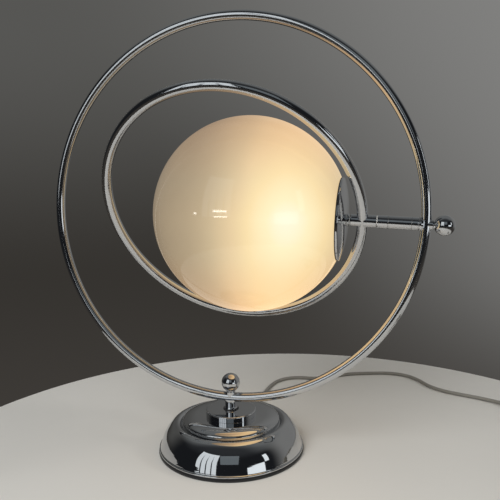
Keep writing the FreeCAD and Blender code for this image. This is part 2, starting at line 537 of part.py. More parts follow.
sw_up = sw_up.cut(cav).cut(box(SW_L / 2 - 9.3, -5.3, 12, SW_L / 2 + 9.3, 5.3, 17))
sw_scr = []
for x, y in ((15.0, -10.8), (SW_L - 15.0, 10.8)):
    sw_low = sw_low.cut(cyl(1.1, 9, (x, y, 0.3))).cut(cyl(2.1, 1.6, (x, y, 0.3)))
    sw_up = sw_up.cut(cyl(1.1, 3.5, (x, y, SW_Z)))
    sw_scr.append(cyl(1.1, SW_Z + 3.0 - 0.9, (x, y, 0.9)).fuse(cyl(2.1, 1.0, (x, y, 0.9))))
ROCK_Z = 13.8
rocker = box(-8.7, -4.9, -2.6, 8.7, 4.9, 3.2)
rocker = rocker.cut(cyl(30.0, 12, (0, -6, 31.2), (0, 1, 0)))
rocker = rocker.common(cyl(9.0, 12, (0, -6, 0), (0, 1, 0)))
rocker = rocker.cut(cyl(1.05, 14.0, (0, -7, 0), (0, 1, 0)))
rocker.rotate(V(0, 0, 0), V(0, 1, 0), 7.0)
rocker.translate(V(SW_L / 2, 0, ROCK_Z))
pin = cyl(1.0, 12.6, (SW_L / 2, -6.3, ROCK_Z), (0, 1, 0))
sw_up = sw_up.cut(pin)
for n, s in (("switch_lower", sw_low), ("switch_upper", sw_up), ("switch_rocker", rocker),
             ("switch_pin", pin), ("switch_screws", group(sw_scr))):
    save(n, lay(s, S0, SW_AZ))
print("rocker axis at", [round(v, 3) for v in (S0[0] + SW_L / 2 * sd[0], S0[1] + SW_L / 2 * sd[1], ROCK_Z)],
      "axis", [round(-math.sin(SW_AZ), 4), round(math.cos(SW_AZ), 4), 0])

# two-pin plug, x along its length from the cord's entry
body = Part.makeLoft([
    Part.Wire(Part.makeCircle(3.9, V(0, 0, PZ), V(1, 0, 0))),
    Part.Wire(Part.makeCircle(4.7, V(12, 0, PZ), V(1, 0, 0)))], True, True)
grip = box(11, -8.0, PZ - 6.4, 24, 8.0, PZ + 6.4)
head = box(22, -17.0, PZ - 6.9, 34, 17.0, PZ + 6.9)
grip = grip.makeFillet(4.5, [e for e in grip.Edges if e.BoundBox.XLength > 10])
head = head.makeFillet(6.2, [e for e in head.Edges if e.BoundBox.XLength > 10])
plug = body.fuse(grip).fuse(head)
pins = []
for y in (-9.5, 9.5):
    pins.append(cyl(2.0, 22.0, (31.0, y, PZ), (1, 0, 0)).fuse(Part.makeSphere(2.0, V(53.0, y, PZ))))
    plug = plug.cut(cyl(2.0, 4.0, (31.0, y, PZ), (1, 0, 0)))
PLUG_AZ = math.atan2(PLUG_Y - (COIL_C[1] - 33.0), -3.4 + 1.8)
save("plug_body", lay(plug, (xt - 3.4, PLUG_Y), PLUG_AZ))
save("plug_pins", lay(group(pins), (xt - 3.4, PLUG_Y), PLUG_AZ))
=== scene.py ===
import json
import math

import bpy
import numpy as np
from mathutils import Matrix, Vector


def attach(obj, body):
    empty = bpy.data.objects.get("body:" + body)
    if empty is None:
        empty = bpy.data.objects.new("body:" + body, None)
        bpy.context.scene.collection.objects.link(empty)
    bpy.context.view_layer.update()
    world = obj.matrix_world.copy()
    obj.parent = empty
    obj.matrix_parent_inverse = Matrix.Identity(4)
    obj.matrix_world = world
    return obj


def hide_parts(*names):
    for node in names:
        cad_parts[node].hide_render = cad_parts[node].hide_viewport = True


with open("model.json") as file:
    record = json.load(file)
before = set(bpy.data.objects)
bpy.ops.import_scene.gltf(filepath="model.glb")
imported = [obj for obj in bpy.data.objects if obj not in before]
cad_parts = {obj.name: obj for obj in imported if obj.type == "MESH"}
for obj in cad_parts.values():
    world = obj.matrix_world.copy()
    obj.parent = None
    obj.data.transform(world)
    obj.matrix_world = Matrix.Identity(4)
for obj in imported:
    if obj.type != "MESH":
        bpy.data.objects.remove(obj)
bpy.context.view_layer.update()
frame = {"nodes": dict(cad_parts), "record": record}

nodes = frame["nodes"]
scene = bpy.context.scene
scene.view_settings.view_transform = "Standard"
scene.view_settings.look = "None"

# ------------------------------------------------------------------ camera
YAW, PITCH, ROLL = math.radians(15.29), math.radians(-6.23), math.radians(-0.68)
CAM = Vector((0.179131, -0.569396, 0.281351))
fwd = Vector((-math.sin(YAW) * math.cos(PITCH), math.cos(YAW) * math.cos(PITCH), math.sin(PITCH)))
right0 = Vector((math.cos(YAW), math.sin(YAW), 0))
up0 = right0.cross(fwd)
right = math.cos(ROLL) * right0 + math.sin(ROLL) * up0
up = -math.sin(ROLL) * right0 + math.cos(ROLL) * up0
cam_data = bpy.data.cameras.new("view")
cam_data.sensor_width = 36.0
cam_data.lens = 40.96
cam_data.clip_start, cam_data.clip_end = 0.02, 20.0
cam = bpy.data.objects.new("view", cam_data)
scene.collection.objects.link(cam)
cam.matrix_world = Matrix((
    (right.x, up.x, -fwd.x, CAM.x),
    (right.y, up.y, -fwd.y, CAM.y),
    (right.z, up.z, -fwd.z, CAM.z),
    (0, 0, 0, 1)))
scene.camera = cam

# ------------------------------------------------ the lamp's sizes, in metres
RING_H, RING_R, RING_T = 0.2555, 0.199, 0.005
DROP = math.radians(3.1)
IN_R, IN_T, IN_U, IN_TILT = 0.1375, 0.0055, 0.0014, math.radians(30)
GLOBE_R, GLOBE_WALL, GLOBE_U, OPEN_R = 0.100, 0.0026, 0.02475, 0.0405
U_OPEN = GLOBE_U + math.sqrt(GLOBE_R ** 2 - OPEN_R ** 2)
ARM_AXIS = Vector((math.cos(DROP), 0, -math.sin(DROP)))
ARM_FRAME = Matrix.Translation((0, 0, RING_H)) @ Matrix.Rotation(DROP, 4, "Y")
Z_TO_U = Matrix.Rotation(math.radians(90), 4, "Y")
ARM_LATHE = ARM_FRAME @ Z_TO_U
GLOBE_C = ARM_FRAME @ Vector((GLOBE_U, 0, 0))


# ------------------------------------------------------------- mesh helpers
def rounded(points, closed=True):
    """Outline of (radius, height, corner radius) points, millimetres, with each
    corner rounded. Points stand close beside each round so that flats stay flat."""
    out, n = [], len(points)
    for i, (x, y, rad) in enumerate(points):
        p = Vector((x, y))
        if rad <= 0 or (not closed and i in (0, n - 1)):
            out.append(p)
            continue
        a = Vector(points[i - 1][:2]) - p
        b = Vector(points[(i + 1) % n][:2]) - p
        la, lb = a.length, b.length
        a.normalize()
        b.normalize()
        ang = math.acos(max(-1.0, min(1.0, a.dot(b))))
        if ang > math.radians(176):
            out.append(p)
            continue
        t = min(rad / math.tan(ang / 2), 0.46 * la, 0.46 * lb)
        r = t * math.tan(ang / 2)
        mid = (a + b).normalized()
        c = p + mid * (r / math.sin(ang / 2))
        s, e = p + a * t, p + b * t
        a0 = math.atan2(s.y - c.y, s.x - c.x)
        turn = math.atan2(e.y - c.y, e.x - c.x) - a0
        turn = (turn + math.pi) % (2 * math.pi) - math.pi
        k = max(3, int(abs(turn) / math.radians(11)) + 1)
        edge = min(0.25 * t, 0.06)
        out.append(s + a * edge)
        for j in range(k + 1):
            w = a0 + turn * j / k
            out.append(Vector((c.x + r * math.cos(w), c.y + r * math.sin(w))))
        out.append(e + b * edge)
    return [(q.x, q.y) for q in out]


def through(points, per=8):
    """Smooth curve through (radius, height) points."""
    P = [np.array(p, float) for p in points]
    P = [2 * P[0] - P[1]] + P + [2 * P[-1] - P[-2]]
    out = []
    for i in range(1, len(P) - 2):
        p0, p1, p2, p3 = P[i - 1:i + 3]
        t0 = 0.0
        t1 = t0 + np.linalg.norm(p1 - p0) ** 0.5
        t2 = t1 + np.linalg.norm(p2 - p1) ** 0.5
        t3 = t2 + np.linalg.norm(p3 - p2) ** 0.5
        for k in range(per):
            t = t1 + (t2 - t1) * k / per
            a1 = (t1 - t) / (t1 - t0) * p0 + (t - t0) / (t1 - t0) * p1
            a2 = (t2 - t) / (t2 - t1) * p1 + (t - t1) / (t2 - t1) * p2
            a3 = (t3 - t) / (t3 - t2) * p2 + (t - t2) / (t3 - t2) * p3
            b1 = (t2 - t) / (t2 - t0) * a1 + (t - t0) / (t2 - t0) * a2
            b2 = (t3 - t) / (t3 - t1) * a2 + (t - t1) / (t3 - t1) * a3
            out.append(tuple((t2 - t) / (t2 - t1) * b1 + (t - t1) / (t2 - t1) * b2))
    out.append(tuple(P[-2]))
    return out


def new_object(name, verts, faces, sharp=50.0):
    me = bpy.data.meshes.new(name)
    me.from_pydata(verts, [], faces)
    me.validate()
    me.polygons.foreach_set("use_smooth", [True] * len(me.polygons))
    me.set_sharp_from_angle(angle=math.radians(sharp))
    ob = bpy.data.objects.new(name, me)
    scene.collection.objects.link(ob)
    return ob


def lathe(name, outline, place=Matrix.Identity(4), seg=160, unit=0.001, sharp=50.0):
    """Solid of revolution about local Z from a closed (radius, height) outline."""
    pts = []
    for r, h in outline:
        if not pts or math.hypot(pts[-1][0] - r, pts[-1][1] - h) > 1e-5:
            pts.append((r, h))
    if math.hypot(pts[0][0] - pts[-1][0], pts[0][1] - pts[-1][1]) < 1e-5:
        pts.pop()
    verts, rows = [], []
    for r, h in pts:
        if r < 1e-6:
            rows.append([len(verts)])
            verts.append((0, 0, h * unit))
        else:
            rows.append(list(range(len(verts), len(verts) + seg)))
            verts += [(r * unit * math.cos(2 * math.pi * k / seg),
                       r * unit * math.sin(2 * math.pi * k / seg), h * unit) for k in range(seg)]
    faces = []
    for i in range(len(rows)):
        a, b = rows[i], rows[(i + 1) % len(rows)]
        if len(a) == 1 and len(b) == 1:
            continue
        for k in range(seg):
            k2 = (k + 1) % seg
            if len(a) == 1:
                faces.append((a[0], b[k], b[k2]))
            elif len(b) == 1:
                faces.append((a[k], b[0], a[k2]))
            else:
                faces.append((a[k], b[k], b[k2], a[k2]))
    area = sum(p[0] * q[1] - q[0] * p[1] for p, q in zip(pts, pts[1:] + pts[:1]))
    if area > 0:
        faces = [tuple(reversed(f)) for f in faces]
    ob = new_object(name, [tuple(place @ Vector(v)) for v in verts], faces, sharp)
    return ob


def hoop(name, big, small, place, n=900, m=56):
    """Bent tube closed into a ring about local Y."""
    verts, faces = [], []
    for i in range(n):
        a = 2 * math.pi * i / n
        ca, sa = math.cos(a), math.sin(a)
        for j in range(m):
            b = 2 * math.pi * j / m
            r = big + small * math.cos(b)
            verts.append(tuple(place @ Vector((r * ca, small * math.sin(b), r * sa))))
    for i in range(n):
        i2 = (i + 1) % n
        for j in range(m):
            j2 = (j + 1) % m
            faces.append((i * m + j, i2 * m + j, i2 * m + j2, i * m + j2))
    return new_object(name, verts, faces)


# ---------------------------------------------------------- material helpers
def material(name):
    m = bpy.data.materials.new(name)
    m.use_nodes = True
    nt = m.node_tree
    b = nt.nodes["Principled BSDF"]
    return m, nt, b


def node(nt, kind, **settings):
    n = nt.nodes.new(kind)
    for k, v in settings.items():
        if k.startswith("in_"):
            n.inputs[int(k[3:])].default_value = v
        else:
            setattr(n, k, v)
    return n


def noise(nt, coord, scale, detail=4.0, rough=0.55, stretch=None):
    src = coord
    if stretch:
        mp = node(nt, "ShaderNodeMapping")
        mp.inputs["Scale"].default_value = stretch
        nt.links.new(coord, mp.inputs["Vector"])
        src = mp.outputs["Vector"]
    n = node(nt, "ShaderNodeTexNoise")
    n.inputs["Scale"].default_value = scale
    n.inputs["Detail"].default_value = detail
    n.inputs["Roughness"].default_value = rough
    nt.links.new(src, n.inputs["Vector"])
    return n.outputs["Fac"]


def remap(nt, value, lo, hi, a, b):
    n = node(nt, "ShaderNodeMapRange")
    n.inputs["From Min"].default_value = lo
    n.inputs["From Max"].default_value = hi
    n.inputs["To Min"].default_value = a
    n.inputs["To Max"].default_value = b
    nt.links.new(value, n.inputs["Value"])
    return n.outputs["Result"]


def mixcol(nt, fac, a, b):
    n = node(nt, "ShaderNodeMix", data_type="RGBA")
    for sock, v in ((n.inputs[6], a), (n.inputs[7], b)):
        if isinstance(v, tuple):
            sock.default_value = (*v, 1.0)
        else:
            nt.links.new(v, sock)
    nt.links.new(fac, n.inputs[0])
    return n.outputs[2]


def math_node(nt, op, a, b=None, c=None):
    n = node(nt, "ShaderNodeMath", operation=op)
    for k, v in enumerate((a, b, c)):
        if v is None:
            continue
        if isinstance(v, (int, float)):
            n.inputs[k].default_value = v
        else:
            nt.links.new(v, n.inputs[k])
    return n.outputs[0]


def bump(nt, b, height, distance, strength=1.0):
    n = node(nt, "ShaderNodeBump")
    n.inputs["Strength"].default_value = strength
    n.inputs["Distance"].default_value = distance
    nt.links.new(height, n.inputs["Height"])
    nt.links.new(n.outputs["Normal"], b.inputs["Normal"])
    return n


def coords(nt):
    return node(nt, "ShaderNodeTexCoord").outputs["Object"]


def chrome(name, a=(0.60, 0.61, 0.63), c=(0.66, 0.67, 0.68), rough=(0.025, 0.075), wave=0.00002,
           wave_scale=22.0, stretch=None):
    """Polished plated steel: hazy patches where it was wiped, fine polishing
    marks and a slight unevenness in the mirror."""
    m, nt, b = material(name)
    co = coords(nt)
    haze = noise(nt, co, 14.0, 5.0, 0.6)
    fine = noise(nt, co, 900.0, 2.0, 0.5, stretch)
    wide = noise(nt, co, wave_scale, 2.0, 0.4)
    nt.links.new(mixcol(nt, remap(nt, haze, 0.35, 0.7, 0.0, 1.0), a, c), b.inputs["Base Color"])
    r1 = remap(nt, haze, 0.42, 0.72, rough[0], rough[1])
    r2 = remap(nt, fine, 0.3, 0.8, 0.0, 0.02)
    nt.links.new(math_node(nt, "ADD", r1, r2), b.inputs["Roughness"])
    b.inputs["Metallic"].default_value = 1.0
    bump(nt, b, wide, wave, 0.6)
    return m


# --------------------------------------------------------------- materials
M = {}
M["ring"] = chrome("chrome_ring", rough=(0.065, 0.105), wave=0.000002)
M["base"] = chrome("chrome_base", rough=(0.02, 0.05), wave=0.000012, wave_scale=16.0)
M["arm"] = chrome("chrome_arm", rough=(0.04, 0.11), wave=0.00001, wave_scale=60.0)
M["ball"] = chrome("chrome_ball", rough=(0.02, 0.05), wave=0.00001, wave_scale=40.0)


def zinc():
    m, nt, b = material("zinc_steel")
    co = coords(nt)
    v = node(nt, "ShaderNodeTexVoronoi")
    v.inputs["Scale"].default_value = 420.0
    nt.links.new(co, v.inputs["Vector"])
    spangle = remap(nt, v.outputs["Color"], 0.0, 1.0, 0.0, 1.0)
    nt.links.new(mixcol(nt, spangle, (0.42, 0.43, 0.44), (0.58, 0.59, 0.60)), b.inputs["Base Color"])
    nt.links.new(remap(nt, noise(nt, co, 120.0), 0.3, 0.7, 0.28, 0.45), b.inputs["Roughness"])
    b.inputs["Metallic"].default_value = 1.0
    bump(nt, b, noise(nt, co, 1500.0), 0.00002, 0.4)
    return m


def iron():
    m, nt, b = material("cast_iron")
    co = coords(nt)
    n = noise(nt, co, 260.0, 8.0, 0.7)
    nt.links.new(mixcol(nt, n, (0.035, 0.034, 0.033), (0.11, 0.105, 0.10)), b.inputs["Base Color"])
    b.inputs["Metallic"].default_value = 0.6
    nt.links.new(remap(nt, n, 0.3, 0.7, 0.55, 0.8), b.inputs["Roughness"])
    bump(nt, b, noise(nt, co, 900.0, 8.0, 0.7), 0.0003, 0.8)
    return m


def plastic(name, a, c, rough=(0.35, 0.5), grain=1400.0, depth=0.00004, spec=0.5):
    m, nt, b = material(name)
    co = coords(nt)
    nt.links.new(mixcol(nt, remap(nt, noise(nt, co, 35.0), 0.3, 0.7, 0.0, 1.0), a, c), b.inputs["Base Color"])
    nt.links.new(remap(nt, noise(nt, co, 180.0), 0.3, 0.7, *rough), b.inputs["Roughness"])
    b.inputs["Specular IOR Level"].default_value = spec
    bump(nt, b, noise(nt, co, grain, 3.0, 0.6), depth, 0.5)
    return m


def felt():
    m, nt, b = material("felt")
    co = coords(nt)
    n = noise(nt, co, 700.0, 8.0, 0.75)
    nt.links.new(mixcol(nt, n, (0.012, 0.016, 0.013), (0.045, 0.055, 0.048)), b.inputs["Base Color"])
    b.inputs["Roughness"].default_value = 0.95
    b.inputs["Sheen Weight"].default_value = 0.5
    b.inputs["Sheen Roughness"].default_value = 0.4
    bump(nt, b, n, 0.0004, 1.0)
    return m


def metal(name, a, c, rough=(0.2, 0.35)):
    m, nt, b = material(name)
    co = coords(nt)
    nt.links.new(mixcol(nt, remap(nt, noise(nt, co, 160.0, 5.0), 0.35, 0.7, 0.0, 1.0), a, c), b.inputs["Base Color"])
    nt.links.new(remap(nt, noise(nt, co, 400.0), 0.3, 0.7, *rough), b.inputs["Roughness"])
    b.inputs["Metallic"].default_value = 1.0
    bump(nt, b, noise(nt, co, 1600.0), 0.00002, 0.4)
    return m


def opal():
    """Cased opal glass, lit from the bulb near its opening: the skin is glossy,
    and the glow runs from grey beige far from the bulb to near white beside it."""
    m, nt, b = material("opal_glass")
    co = coords(nt)
    rel = node(nt, "ShaderNodeVectorMath", operation="SUBTRACT")
    rel.inputs[1].default_value = GLOBE_C
    nt.links.new(co, rel.inputs[0])
    dot = node(nt, "ShaderNodeVectorMath", operation="DOT_PRODUCT")
    dot.inputs[1].default_value = ARM_AXIS / GLOBE_R
    nt.links.new(rel.outputs[0], dot.inputs[0])
    t = dot.outputs["Value"]
    xyz = node(nt, "ShaderNodeSeparateXYZ")
    nt.links.new(rel.outputs[0], xyz.inputs[0])
    zz = math_node(nt, "MULTIPLY", xyz.outputs["Z"], 1 / GLOBE_R)
    # along the arm: grey beige at the far end, brightest abreast of the bulb
    wide = noise(nt, co, 7.0, 2.0, 0.5)
    t2 = math_node(nt, "ADD", t, remap(nt, wide, 0.3, 0.7, -0.05, 0.05))
    s = node(nt, "ShaderNodeFloatCurve")
    c = s.mapping.curves[0]
    for x, y in ((0.05, 0.17), (0.18, 0.255), (0.36, 0.345), (0.53, 0.55), (0.68, 0.76), (0.80, 0.81), (0.92, 0.70)):
        c.points.new(x, y)
    c.points[0].location = (0.0, 0.12)
    c.points[len(c.points) - 1].location = (1.0, 0.40)
    s.mapping.update()
    nt.links.new(remap(nt, t2, -1.0, 1.0, 0.0, 1.0), s.inputs["Value"])
    along = s.outputs["Value"]
    # dimmer above, where the bulb's own cap shades the glass
    upper = remap(nt, zz, 0.0, 0.9, 1.0, 0.68)
    belly = remap(nt, t, 0.1, 0.7, 0.15, -0.20)
    lower = math_node(nt, "MULTIPLY_ADD", remap(nt, zz, -0.2, -0.9, 0.0, 1.0), belly, 1.0)
    upper = math_node(nt, "MULTIPLY", upper, lower)
    # hot zone abreast of the bulb, on both sides
    zone = []
    for y in (-0.083, 0.083):
        d = node(nt, "ShaderNodeVectorMath", operation="DISTANCE")
        d.inputs[1].default_value = ARM_FRAME @ Vector((0.078, y, 0.006))
        nt.links.new(co, d.inputs[0])
        g = math_node(nt, "DIVIDE", d.outputs["Value"], 0.044)
        g = math_node(nt, "MULTIPLY", g, g)
        g = math_node(nt, "EXPONENT", math_node(nt, "MULTIPLY", g, -1.0))
        zone.append(g)
    hot = math_node(nt, "ADD", zone[0], zone[1])
    sc = math_node(nt, "ADD", math_node(nt, "MULTIPLY", along, upper), math_node(nt, "MULTIPLY", hot, 0.13))
    # the far side glows more evenly
    yy = math_node(nt, "MULTIPLY", xyz.outputs["Y"], 1 / GLOBE_R)
    far = math_node(nt, "MULTIPLY", remap(nt, yy, 0.05, 0.5, 0.0, 1.0), remap(nt, t, 0.5, -0.5, 0.0, 0.42))
    sc = math_node(nt, "ADD", sc, far)
    ramp = node(nt, "ShaderNodeValToRGB")
    cr = ramp.color_ramp
    stops = ((0.0, (0.0, 0.0, 0.0)), (0.15, (0.165, 0.125, 0.085)), (0.30, (0.345, 0.262, 0.163)),
             (0.45, (0.53, 0.41, 0.245)), (0.60, (0.74, 0.56, 0.32)), (0.75, (0.90, 0.70, 0.38)),
             (0.88, (0.97, 0.84, 0.52)), (1.0, (1.02, 0.98, 0.84)))
    cr.elements[0].position, cr.elements[0].color = stops[0][0], (*stops[0][1], 1)
    cr.elements[1].position, cr.elements[1].color = stops[-1][0], (*stops[-1][1], 1)
    for p, col in stops[1:-1]:
        e = cr.elements.new(p)
        e.color = (*col, 1)
    nt.links.new(sc, ramp.inputs["Fac"])
    # peach towards the top and the bottom
    rim = remap(nt, math_node(nt, "ABSOLUTE", zz), 0.35, 0.85, 0.0, 1.0)
    tint = node(nt, "ShaderNodeVectorMath", operation="MULTIPLY")
    nt.links.new(ramp.outputs["Color"], tint.inputs[0])
    nt.links.new(mixcol(nt, rim, (1.0, 1.0, 1.0), (1.09, 0.93, 0.84)), tint.inputs[1])
    nt.links.new(tint.outputs[0], b.inputs["Emission Color"])
    b.inputs["Emission Strength"].default_value = 1.0
    b.inputs["Specular IOR Level"].default_value = 0.36
    nt.links.new(mixcol(nt, remap(nt, noise(nt, co, 30.0), 0.3, 0.7, 0.0, 1.0),
                        (0.075, 0.066, 0.052), (0.09, 0.08, 0.062)), b.inputs["Base Color"])
    nt.links.new(remap(nt, noise(nt, co, 60.0), 0.3, 0.7, 0.04, 0.09), b.inputs["Roughness"])
    b.inputs["IOR"].default_value = 1.52
    bump(nt, b, noise(nt, co, 26.0, 2.0, 0.4), 0.00006, 0.5)
    return m


def glow(name, colour, strength):
    m, nt, b = material(name)
    co = coords(nt)
    nt.links.new(mixcol(nt, noise(nt, co, 80.0), tuple(0.9 * v for v in colour), colour), b.inputs["Emission Color"])
    b.inputs["Emission Strength"].default_value = strength
    b.inputs["Base Color"].default_value = (0.9, 0.88, 0.84, 1)
    nt.links.new(remap(nt, noise(nt, co, 90.0), 0.3, 0.7, 0.1, 0.18), b.inputs["Roughness"])
    return m


M["opal"] = opal()
M["bulb"] = glow("bulb_glass", (1.0, 0.82, 0.55), 3.0)
M["zinc"] = zinc()
M["iron"] = iron()
M["felt"] = felt()
M["rubber"] = plastic("black_rubber", (0.006, 0.006, 0.007), (0.013, 0.013, 0.014), (0.28, 0.42), 900.0, 0.00004)
M["nylon"] = plastic("nylon", (0.55, 0.53, 0.48), (0.62, 0.60, 0.55), (0.35, 0.5))
M["cap"] = metal("bulb_cap", (0.50, 0.49, 0.46), (0.62, 0.61, 0.58))
M["holder"] = plastic("holder_plastic", (0.010, 0.010, 0.011), (0.018, 0.018, 0.019), (0.3, 0.42))
M["brass"] = metal("brass", (0.62, 0.46, 0.20), (0.72, 0.55, 0.27), (0.15, 0.3))
M["pins"] = metal("plated_pins", (0.60, 0.59, 0.56), (0.70, 0.69, 0.66), (0.12, 0.25))
M["cord"] = plastic("cord_pvc", (0.19, 0.18, 0.16), (0.23, 0.22, 0.195), (0.30, 0.42), 1200.0, 0.00003)
M["housing"] = plastic("cord_housing", (0.21, 0.20, 0.18), (0.25, 0.24, 0.215), (0.34, 0.46), 2200.0, 0.00004)
M["key"] = plastic("switch_key", (0.30, 0.29, 0.265), (0.35, 0.335, 0.305), (0.22, 0.32), 2200.0, 0.00002)
M["wire"] = plastic("wire_insulation", (0.45, 0.44, 0.42), (0.52, 0.51, 0.49), (0.3, 0.45))

BY_SLOT = {"chrome": "arm", "black_rubber": "rubber", "felt": "felt", "zinc_steel": "zinc", "cast_iron": "iron",
           "nylon": "nylon", "opal_glass": "opal", "bulb_glass": "bulb", "bulb_cap": "cap",
           "holder_plastic": "holder", "brass": "brass", "cord_pvc": "housing", "switch_key": "key",
           "wire_insulation": "wire"}
slot_of = {}
for row in frame["record"]["subparts"]:
    slot_of[row["node"]] = row["material_slot"]


def dress(ob, mat):
    ob.data.materials.clear()
    ob.data.materials.append(mat)


for n, ob in nodes.items():
    dress(ob, M[BY_SLOT.get(slot_of.get(n, "chrome"), "arm")])
dress(nodes["plug_pins"], M["pins"])
# the swivel washers are natural nylon, drawn here near black
M["washers_near_black"] = plastic("washers_near_black", (0.020, 0.020, 0.021), (0.030, 0.030, 0.032), (0.35, 0.5))
dress(nodes["swivel_washers"], M["washers_near_black"])


def stand_for(ob, body, mat, *names):
    dress(ob, mat)
    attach(ob, body)
    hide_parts(*names)
    return ob


# ---------------------------------------------------------------- the base
DOME = [(77.2, 5.7), (76.75, 6.0), (76.3, 7.2), (75.5, 9.6), (74.5, 12.6), (73.3, 15.9), (71.8, 19.2),
        (69.8, 22.5), (67.3, 25.7), (64.6, 28.6), (62.2, 30.5), (59.8, 31.5), (57.4, 31.7), (55.2, 30.7),
        (53.0, 28.4)]
dome = through(DOME, 10)
inner = []
for i, p in enumerate(dome):
    q = np.array(dome[min(i + 1, len(dome) - 1)]) - np.array(dome[max(i - 1, 0)])
    q = q / np.linalg.norm(q)
    inner.append((p[0] - 1.2 * q[1], p[1] + 1.2 * q[0]))
inner = [p for p in inner if p[1] > 27.7 or p[0] > 60]
lip = []
for k in range(1, 12):
    a = math.radians(70 - 140 * k / 12)
    lip.append((77.0 + 1.05 * math.cos(a), 4.6 + 1.12 * math.sin(a)))
outline = [(6.5, 27.2), (6.5, 28.4), (52.0, 28.4), (52.9, 28.41)] + dome[::-1] + lip \
    + [(77.2, 3.45), (76.4, 3.4)] + inner + [(52.4, 27.2)]
base = lathe("base_dome", outline, seg=360, sharp=60)
stand_for(base, "base", M["base"], "base_shell")

foot = rounded([(70.6, 0, 0.2), (78.2, 0, 0.8), (78.5, 1.8, 0.8), (78.1, 3.4, 0.7), (70.6, 3.4, 0.2)])
stand_for(lathe("foot_edging", foot, seg=300), "base", M["rubber"], "foot_ring")

step = [(6.8, 37.5), (20.0, 37.5), (36.5, 37.5)]
for k in range(41):
    a = math.radians(90 * k / 40)
    step.append((38.0 + 14.3 * math.sin(a), 32.8 + 4.7 * math.cos(a)))
step += rounded([(52.3, 32.0, 0), (52.3, 28.42, 0.25), (50.9, 28.42, 0.2), (50.9, 32.4, 0), (50.0, 33.6, 0),
                 (47.0, 34.9, 0), (42.0, 35.7, 0), (36.0, 35.9, 0), (20.0, 35.9, 0), (20.0, 28.42, 0.2),
                 (6.5, 28.42, 0.3), (6.5, 37.2, 0)], closed=False)
stand_for(lathe("step_plate", step, seg=320), "base", M["base"], "step_disc")

collar = rounded([(5.3, 43.5, 0.2), (26.9, 43.5, 1.1), (26.9, 37.52, 0.2), (25.3, 37.52, 0.15),
                  (25.3, 41.5, 0.6), (5.3, 41.5, 0.2)])
stand_for(lathe("collar_cup", collar, seg=240), "base", M["base"], "collar_disc")

stem = rounded([(5.0, 44.3, 0.15), (7.05, 44.3, 0.2), (7.05, 44.95, 0.25), (6.35, 46.1, 0.8), (6.35, 54.3, 0.1),
                (3.0, 54.3, 0.1), (3.0, 50.2, 0.1), (5.0, 50.2, 0.1)])
stand_for(lathe("stem_tube", stem, seg=120), "ring_frame", M["arm"], "stem")


# --------------------------------------------------------------- the rings
stand_for(hoop("ring_large", RING_R, RING_T, Matrix.Translation((0, 0, RING_H))),
          "ring_frame", M["ring"], "outer_ring")
stand_for(hoop("ring_small", IN_R, IN_T,
               ARM_FRAME @ Matrix.Translation((IN_U, 0, 0)) @ Matrix.Rotation(IN_TILT, 4, "X"), n=760),
          "inner_ring", M["ring"], "inner_ring")


def ball(seat, centre, place, name, body, node_name, bore_top):
    pts = [(3.0, seat), (3.7, seat)]
    low = centre - 10.0
    if low > seat + 0.5:
        pts += [(3.95, seat + 0.08), (4.3, seat + 0.3), (4.42, seat + 0.6), (4.3, seat + 0.9), (4.12, seat + 1.15)]
        r0 = 4.12
    else:
        pts += [(4.1, seat + 0.1)]
        r0 = 4.3
    a0 = math.asin(r0 / 10.0)
    k = 72
    for j in range(k + 1):
        a = a0 + (math.pi - a0) * j / k
        pts.append((10.0 * math.sin(a) if j < k else 0.0, centre - 10.0 * math.cos(a)))
    pts += [(0.0, bore_top), (3.0, bore_top)]
    stand_for(lathe(name, pts, place, seg=128, sharp=40), body, M["ball"], node_name)


ball(61.4, 71.55 + 1.0 - 0.0, Matrix.Identity(4), "ball_low", "ring_frame", "ball_finial_lower", 68.0)
ball(204.9, 215.85, ARM_LATHE, "ball_side", "ring_frame", "ball_finial_side", 210.0)

# ----------------------------------------------------------------- the arm
arm_parts = {
    "arm_tube": ("arm_tube_long", "ring_frame", [(3.0, 163.52, 0.1), (6.35, 163.52, 0.35), (6.35, 185.58, 0.35), (3.0, 185.58, 0.1)]),
    "arm_sleeve": ("arm_tube_short", "ring_frame", [(3.0, 153.17, 0.1), (6.35, 153.17, 0.35), (6.35, 163.48, 0.35), (3.0, 163.48, 0.1)]),
    "arm_end_collar": ("arm_collar", "ring_frame", [
        (3.0, 185.62, 0.1), (6.35, 185.62, 0.35), (6.35, 191.2, 0.25), (5.9, 191.65, 0.15), (5.9, 192.2, 0.2),
        (6.9, 192.9, 0.3), (6.9, 194.4, 0.5), (6.2, 196.4, 0.4), (3.0, 196.4, 0.1)]),
}
for node_name, (name, body, pts) in arm_parts.items():
    stand_for(lathe(name, rounded(pts), ARM_LATHE, seg=112), body, M["arm"], node_name)

# cap over the globe's opening
u0 = U_OPEN * 1000
crown = []
for k in range(17):
    a = k / 16
    r = 40.6 + (7.0 - 40.6) * a
    crown.append((r, 124.6 - (124.6 - (u0 + 3.1)) * (((r - 7.0) / 33.6) ** 2.1)))
cap = [(40.6, u0 + 3.1)]
outer = [(41.6, u0 + 1.0), (41.6, u0 + 1.9), (41.45, u0 + 2.45), (41.1, u0 + 2.85)] + crown
under = [(r - 0.2, h - 1.0) for r, h in reversed(crown[2:])]
cap = outer + [(3.0, 124.6), (3.0, 123.6)] + under + [(40.1, u0 + 1.9), (40.6, u0 + 1.0)]
stand_for(lathe("globe_cap", cap, ARM_LATHE, seg=240), "ring_frame", M["base"], "gallery_dome")

